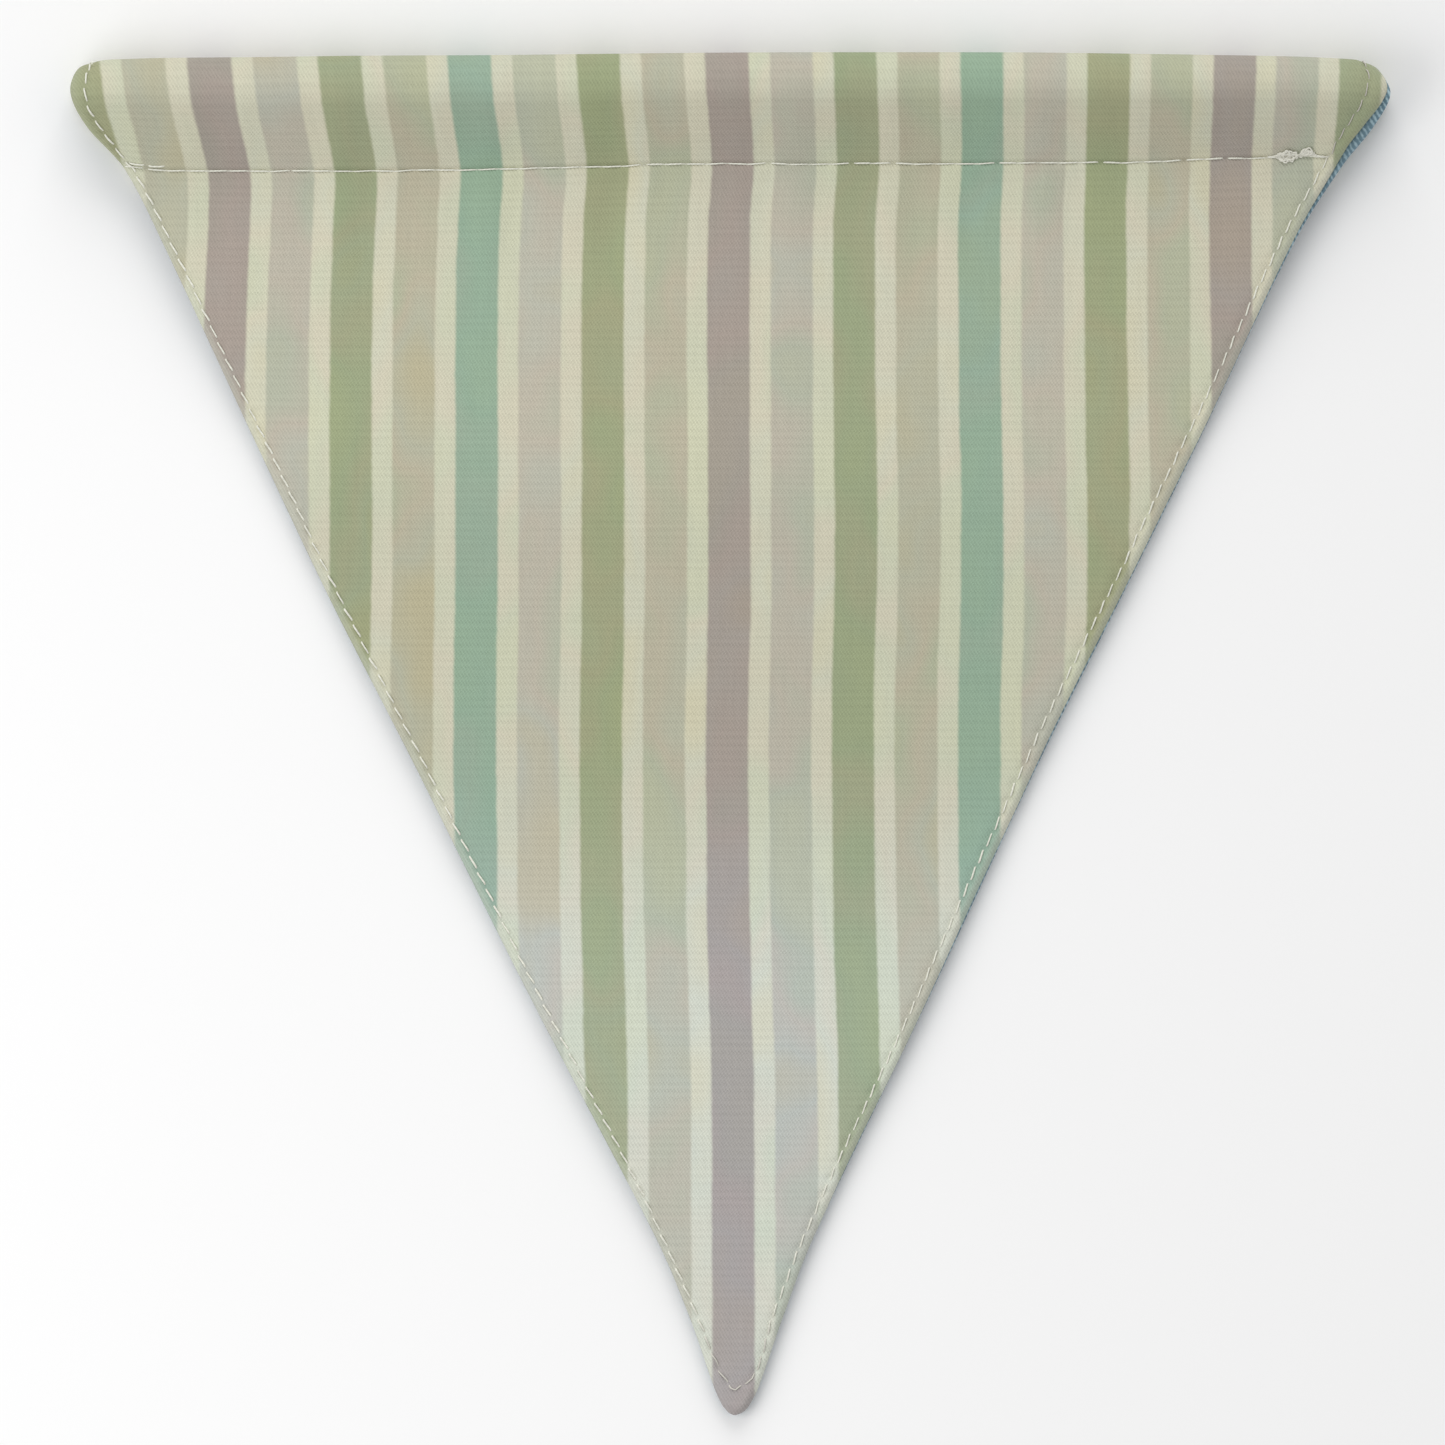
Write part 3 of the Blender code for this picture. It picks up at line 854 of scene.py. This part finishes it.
def lockstitch_row():
    """Geometry nodes that sew a row of stitches along a path, which carries the way out of the cloth."""
    tree = bpy.data.node_groups.new("lockstitch_row", "GeometryNodeTree")
    socket = tree.interface.new_socket
    socket("Path", in_out="INPUT", socket_type="NodeSocketGeometry")
    for name in ("Stitch length", "Thread radius", "Lie", "Dip", "Deep holes", "Slant", "Wander"):
        socket(name, in_out="INPUT", socket_type="NodeSocketFloat")
    socket("Steps", in_out="INPUT", socket_type="NodeSocketInt")
    socket("Seed", in_out="INPUT", socket_type="NodeSocketInt")
    socket("Thread", in_out="INPUT", socket_type="NodeSocketMaterial")
    socket("Stitches", in_out="OUTPUT", socket_type="NodeSocketGeometry")
    given = node(tree, "NodeGroupInput").outputs
    path = node(tree, "GeometryNodeMeshToCurve", {0: given["Path"]}).outputs[0]
    length = node(tree, "GeometryNodeCurveLength", {0: path}).outputs[0]
    count = maths(tree, "ROUND", maths(tree, "DIVIDE", length, given["Stitch length"]))
    count = maths(tree, "MAXIMUM", count, 1.0)
    points = maths(tree, "MULTIPLY_ADD", count, given["Steps"], 1.0)
    fine = node(tree, "GeometryNodeResampleCurve", {"Curve": path, "Count": points}).outputs[0]
    factor = node(tree, "GeometryNodeSplineParameter").outputs["Factor"]
    phase = maths(tree, "MULTIPLY", factor, count)
    within = maths(tree, "FRACT", phase)
    from_hole = maths(tree, "MULTIPLY", maths(tree, "PINGPONG", phase, 0.5), 2.0)
    arch = smooth_step(tree, from_hole, 0.05, 0.42)

    def chance(at, low):
        """A random value from low to 1, the same wherever at is the same."""
        made = node(tree, "FunctionNodeRandomValue", {"ID": at, "Seed": given["Seed"]}, data_type="FLOAT")
        made.inputs[2].default_value = low
        return made.outputs[1]

    shallow = maths(tree, "SUBTRACT", 1.0, given["Deep holes"])
    drawn_in = maths(tree, "SUBTRACT", chance(maths(tree, "ROUND", phase), 0.0), shallow)
    depth = maths(tree, "MULTIPLY", smooth_step(tree, drawn_in, -0.05, 0.05, 0.08, 1.0), given["Dip"])
    drawn = node(tree, "GeometryNodeInputNamedAttribute", {"Name": "drawn"}, data_type="FLOAT").outputs[0]
    depth = maths(tree, "MULTIPLY", depth, smooth_step(tree, drawn, 0.55, 1.0, 0.35, 1.0))
    sunk = maths(tree, "MULTIPLY", maths(tree, "SUBTRACT", 1.0, arch), depth)
    height = maths(tree, "SUBTRACT", maths(tree, "MULTIPLY", arch, given["Lie"]), sunk)
    stitch = maths(tree, "FLOOR", phase)
    start, end = chance(stitch, -1.0), chance(maths(tree, "ADD", stitch, 1.0), -1.0)
    stray = maths(tree, "MULTIPLY_ADD", maths(tree, "SUBTRACT", end, start), within, start)
    throw = maths(tree, "MULTIPLY", maths(tree, "SUBTRACT", within, 0.5), given["Slant"])
    throw = maths(tree, "MULTIPLY", throw, arch)
    sideways = maths(tree, "MULTIPLY_ADD", stray, given["Wander"], throw)
    out = node(tree, "GeometryNodeInputNamedAttribute", {"Name": "out"}, data_type="FLOAT_VECTOR").outputs[0]
    tangent = node(tree, "GeometryNodeInputTangent").outputs[0]
    side = node(tree, "ShaderNodeVectorMath", {0: out, 1: tangent}, operation="CROSS_PRODUCT").outputs[0]
    rise = node(tree, "ShaderNodeVectorMath", {0: out, "Scale": height}, operation="SCALE").outputs[0]
    shift = node(tree, "ShaderNodeVectorMath", {0: side, "Scale": sideways}, operation="SCALE").outputs[0]
    move = node(tree, "ShaderNodeVectorMath", {0: rise, 1: shift}, operation="ADD").outputs[0]
    laid = node(tree, "GeometryNodeSetPosition", {"Geometry": fine, "Offset": move}).outputs[0]
    travelled = maths(tree, "MULTIPLY", factor, length)
    marked = {"Geometry": laid, "Name": "along", "Value": travelled}
    laid = node(tree, "GeometryNodeStoreNamedAttribute", marked, data_type="FLOAT").outputs[0]
    circle = {"Resolution": 8, "Radius": given["Thread radius"]}
    profile = node(tree, "GeometryNodeCurvePrimitiveCircle", circle).outputs[0]
    place = node(tree, "GeometryNodeInputPosition").outputs[0]
    around = node(tree, "ShaderNodeVectorMath", {0: place}, operation="NORMALIZE").outputs[0]
    marked = {"Geometry": profile, "Name": "around", "Value": around}
    profile = node(tree, "GeometryNodeStoreNamedAttribute", marked, data_type="FLOAT_VECTOR").outputs[0]
    thick = maths(tree, "MULTIPLY", drawn, chance(stitch, 0.75))
    tube = {"Curve": laid, "Profile Curve": profile, "Scale": thick, "Fill Caps": True}
    solid = node(tree, "GeometryNodeCurveToMesh", tube).outputs[0]
    smooth = node(tree, "GeometryNodeSetShadeSmooth", {0: solid}).outputs[0]
    real = node(tree, "GeometryNodeRealizeInstances", {0: smooth}).outputs[0]
    dyed = node(tree, "GeometryNodeSetMaterial", {"Geometry": real, "Material": given["Thread"]}).outputs[0]
    tree.links.new(dyed, node(tree, "NodeGroupOutput").inputs[0])
    return tree


def sewing_thread():
    """Matt cream cotton thread, twisted: painted light and shade along its plies, painted shade where drawn
    tight.
    """
    material, tree, shader = new_material("sewing_thread")
    along = node(tree, "ShaderNodeAttribute", attribute_name="along").outputs["Fac"]
    around = node(tree, "ShaderNodeAttribute", attribute_name="around").outputs["Vector"]
    cos, sin = node(tree, "ShaderNodeSeparateXYZ", {0: around}).outputs[:2]
    turn = maths(tree, "MULTIPLY", along, 2 * math.pi / THREAD_TWIST)
    twist = maths(tree, "MULTIPLY", maths(tree, "SINE", turn), cos)
    twist = maths(tree, "MULTIPLY_ADD", maths(tree, "COSINE", turn), sin, twist)
    ply = maths(tree, "MULTIPLY_ADD", twist, 0.5, 0.5)
    drawn = node(tree, "ShaderNodeAttribute", attribute_name="drawn").outputs["Fac"]
    # Painted light and shade along the twist: the lit cream on the plies' crests, the shaded one between
    # them.
    cream = mixed(tree, ply, CREAM_PLY_SHADE, CREAM_PLY_LIGHT)
    # Painted shade: darker where the thread is drawn tight into a pinch of the cloth.
    shaded = mixed(tree, smooth_step(tree, drawn, 0.6, 0.95), PINCH_SHADE_CREAM, cream)
    tree.links.new(shaded, shader.inputs["Base Color"])
    bump = node(tree, "ShaderNodeBump", {"Height": ply, "Strength": 0.4, "Distance": 0.00003})
    tree.links.new(bump.outputs[0], shader.inputs["Normal"])
    shader.inputs["Roughness"].default_value = 0.7
    return material


LOCKSTITCH = lockstitch_row()
THREAD = sewing_thread()


def sew(name, places, out, sizes, drawn=1.0):
    """One row of stitches along places on the cloth, as a plain mesh; thinner where it is drawn tight."""
    mesh = bpy.data.meshes.new(name)
    mesh.from_pydata(places.tolist(), [(k, k + 1) for k in range(len(places) - 1)], [])
    mesh.attributes.new("out", "FLOAT_VECTOR", "POINT").data.foreach_set("vector", out.ravel())
    drawn = np.broadcast_to(drawn, len(places)).astype(np.float32)
    mesh.attributes.new("drawn", "FLOAT", "POINT").data.foreach_set("value", drawn)
    row = bpy.data.objects.new(name, mesh)
    bpy.context.scene.collection.objects.link(row)
    maker = row.modifiers.new("stitches", "NODES")
    maker.node_group = LOCKSTITCH
    values = {"Thread radius": THREAD_RADIUS, "Deep holes": 1.0, "Steps": 12, "Thread": THREAD, **sizes}
    for socket in LOCKSTITCH.interface.items_tree:
        if socket.name in values:
            maker[socket.identifier] = values[socket.name]
    evaluated = row.evaluated_get(bpy.context.evaluated_depsgraph_get())
    sewn = bpy.data.meshes.new_from_object(evaluated)
    row.modifiers.clear()
    row.data = sewn
    sewn.name = name
    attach(row, "root")
    return row


def way_out(s, side=1):
    """Unit vectors out of the cloth along the line, on the striped side or, for -1, on the blue one."""
    out = np.stack([0 * s, np.interp(s, LINE, LINE_OUT_UP), np.interp(s, LINE, LINE_OUT_Z)], axis=-1)
    return side * out


# The topstitching is drawn tighter at the tip, on the right of the channel and a little all down the right.
# Where it is drawn tight the thread is also thinner, and painted darker as shade.
TIP_TIGHT = 0.25
CHANNEL_TIGHT = 0.30
RIGHT_TIGHT = 0.08
top_s, top_x = TOPSTITCH.T
at_tip = 1 - ease((top_s - 0.008) / 0.006)
at_channel = (top_x > 0) * ease((top_s - SEAM_AT) / 0.003 + 0.5)
at_right = ease(top_x / 0.010)
side_pitch = TOPSTITCH_LENGTH[-1] / TOPSTITCH_COUNT
front_row = {"Slant": 0.00030, "Wander": 0.00006, "Lie": 0.00012, "Dip": 0.00045, "Seed": 3}
sew(
    "topstitching",
    lay(top_s, top_x, front_out(top_s, top_x)),
    way_out(top_s),
    {"Stitch length": side_pitch, **front_row},
    drawn=1 - TIP_TIGHT * at_tip - CHANNEL_TIGHT * at_channel - RIGHT_TIGHT * at_right,
)
back_row = {"Slant": 0.00020, "Wander": 0.00005, "Lie": -0.00004, "Dip": 0.00045, "Seed": 8}
sew(
    "topstitching_back",
    lay(top_s, top_x, backing_out(top_s, top_x)),
    way_out(top_s, -1),
    {"Stitch length": side_pitch, **back_row},
)
seam_row = {
    "Stitch length": (SEAM_SPAN[1] - SEAM_SPAN[0]) / SEAM_COUNT,
    "Thread radius": SEAM_THREAD_RADIUS,
    "Deep holes": 0.2,
    "Slant": 0.00005,
    "Wander": 0.00011,
    "Lie": 0.00013,
    "Dip": 0.00040,
}
seam_x = np.linspace(*SEAM_SPAN, 600)
for name, at, seed in (("channel_stitching", SEAM_AT, 5), ("channel_stitching_back", HEM_SEAM_AT, 9)):
    seam_s = np.full_like(seam_x, at)
    sew(name, lay(seam_s, seam_x, front_out(seam_s, seam_x)), way_out(seam_s), {**seam_row, "Seed": seed})


# Ends of the channel stitching. At the left the machine started twice, so a short second row lies beside
# the first. At the right the loose end of the thread was sewn over and has matted into a small flat nest.
SECOND_SPAN = (-0.0732, -0.0684)
SECOND_ABOVE = 0.00105
SECOND_PITCH = 0.0024
second_x = np.linspace(*SECOND_SPAN, 60)
second_s = np.full_like(second_x, SEAM_AT + SECOND_ABOVE)
second_row = {"Slant": 0.00010, "Wander": 0.00008, "Lie": 0.00012, "Dip": 0.00035, "Seed": 2}
sew(
    "second_start",
    lay(second_s, second_x, front_out(second_s, second_x)),
    way_out(second_s),
    {"Stitch length": SECOND_PITCH, **second_row},
)

NEST_SPAN = (0.0652, 0.0722)
NEST_LOOPS = 220
NEST_PASSES = 6
NEST_PITCH = 0.0010
NEST_THREAD = 0.00014
NEST_LIE = 0.00010  # the lowest thread above the cloth
NEST_LEAST_LOOP = 0.00010
# Each clump's x, its reach, the radius of its loops and how far it rises above the seam line
NEST_CLUMPS = (
    (0.0676, 0.0010, 0.00088, 0.00010),
    (0.0700, 0.0007, 0.00050, 0.00055),
)
loose = np.random.default_rng(11)
turns = np.zeros(NEST_LOOPS, dtype=[("turn", float), ("x", float), ("up", float), ("out", float)])
turns["turn"] = np.arange(NEST_LOOPS)
sweep = np.abs((turns["turn"] / NEST_LOOPS * NEST_PASSES + 1) % 2 - 1)
middle = NEST_SPAN[0] + (NEST_SPAN[1] - NEST_SPAN[0]) * sweep
near = [np.exp(-(((middle - x) / reach) ** 2)) for x, reach, _, _ in NEST_CLUMPS]
loop = NEST_LEAST_LOOP + sum(share * radius for share, (_, _, radius, _) in zip(near, NEST_CLUMPS))
rise = sum(share * above for share, (_, _, _, above) in zip(near, NEST_CLUMPS))
angle = np.cumsum(loose.uniform(1.6, 2.9, NEST_LOOPS))
turns["x"] = middle + loop * np.cos(angle) * loose.uniform(0.5, 1.2, NEST_LOOPS)
turns["up"] = rise + loop * np.sin(angle) * loose.uniform(0.4, 1.0, NEST_LOOPS)
turns["out"] = NEST_LIE + loose.uniform(0.0, 0.35, NEST_LOOPS) * loop
places = np.linspace(0, NEST_LOOPS - 1, NEST_LOOPS * 10)
nest_x, nest_up, nest_out = (through(turns, places, column) for column in ("x", "up", "out"))
around_seam = SEAM_AT + np.linspace(-0.003, 0.004, 200)
face_up = lay(around_seam, np.full(200, np.mean(NEST_SPAN)), HALF_FLAG)[:, 1]
nest_s = np.interp(nest_up, face_up - np.interp(SEAM_AT, around_seam, face_up), around_seam)
loose_lie = {"Slant": 0.0, "Wander": 0.0, "Lie": 0.0, "Dip": 0.0}
sew(
    "thread_nest",
    lay(nest_s, nest_x, front_out(nest_s, nest_x) + nest_out),
    way_out(nest_s),
    {"Stitch length": NEST_PITCH, "Thread radius": NEST_THREAD, "Steps": 6, "Seed": 1, **loose_lie},
    # a little drawn, so its thread is thinner and painted a little darker as shade
    drawn=0.85,
)


# Studio: a pale floor, even light all round, a low soft light from beyond the channel and a small lamp on
# the left, and a camera straight above the flag, far enough off to see it almost without perspective.
FLOOR_HALF = 3.0
FLOOR_DROP = 0.0001  # under the flag's back
FLOOR_CORNERS = ((-1, -1), (1, -1), (1, 1), (-1, 1))
floor_mesh = bpy.data.meshes.new("floor")
floor_places = [(FLOOR_HALF * x, FLOOR_HALF * y, -FLOOR_DROP) for x, y in FLOOR_CORNERS]
floor_mesh.from_pydata(floor_places, [], [(0, 1, 2, 3)])
floor = bpy.data.objects.new("floor", floor_mesh)
bpy.context.scene.collection.objects.link(floor)
floor_material, _, floor_shader = new_material("pale_floor")
floor_shader.inputs["Base Color"].default_value = (0.94, 0.94, 0.94, 1.0)
floor_shader.inputs["Roughness"].default_value = 0.9
floor.data.materials.append(floor_material)

world = bpy.data.worlds.new("studio")
world.use_nodes = True
all_round = world.node_tree.nodes["Background"]
all_round.inputs["Color"].default_value = (1.0, 1.0, 1.0, 1.0)
all_round.inputs["Strength"].default_value = 0.59
bpy.context.scene.world = world


def area_light(name, place, size, energy):
    """A square soft light at a place, facing the flag."""
    light = bpy.data.lights.new(name, "AREA")
    light.size = size
    light.energy = energy
    lamp = bpy.data.objects.new(name, light)
    lamp.location = place
    lamp.rotation_euler = (-Vector(place)).to_track_quat("-Z", "Y").to_euler()
    bpy.context.scene.collection.objects.link(lamp)


area_light("window", (0.0, 1.5, 0.95), size=1.2, energy=12.5)
area_light("lamp", (-0.30, -0.10, 0.35), size=0.35, energy=0.74)

CAMERA_HEIGHT = 4.0
FRAME_WIDTH = 0.1754  # across the picture, at the height of the flag's face
FRAME_CENTRE = (-0.00097, 0.0014)
SENSOR_WIDTH = 36.0
camera_data = bpy.data.cameras.new("camera")
camera_data.sensor_width = SENSOR_WIDTH
camera_data.lens = SENSOR_WIDTH * (CAMERA_HEIGHT - 2 * HALF_FLAG) / FRAME_WIDTH
camera = bpy.data.objects.new("camera", camera_data)
camera.location = (*FRAME_CENTRE, CAMERA_HEIGHT)
bpy.context.scene.collection.objects.link(camera)
bpy.context.scene.camera = camera
bpy.context.scene.view_settings.view_transform = "Standard"
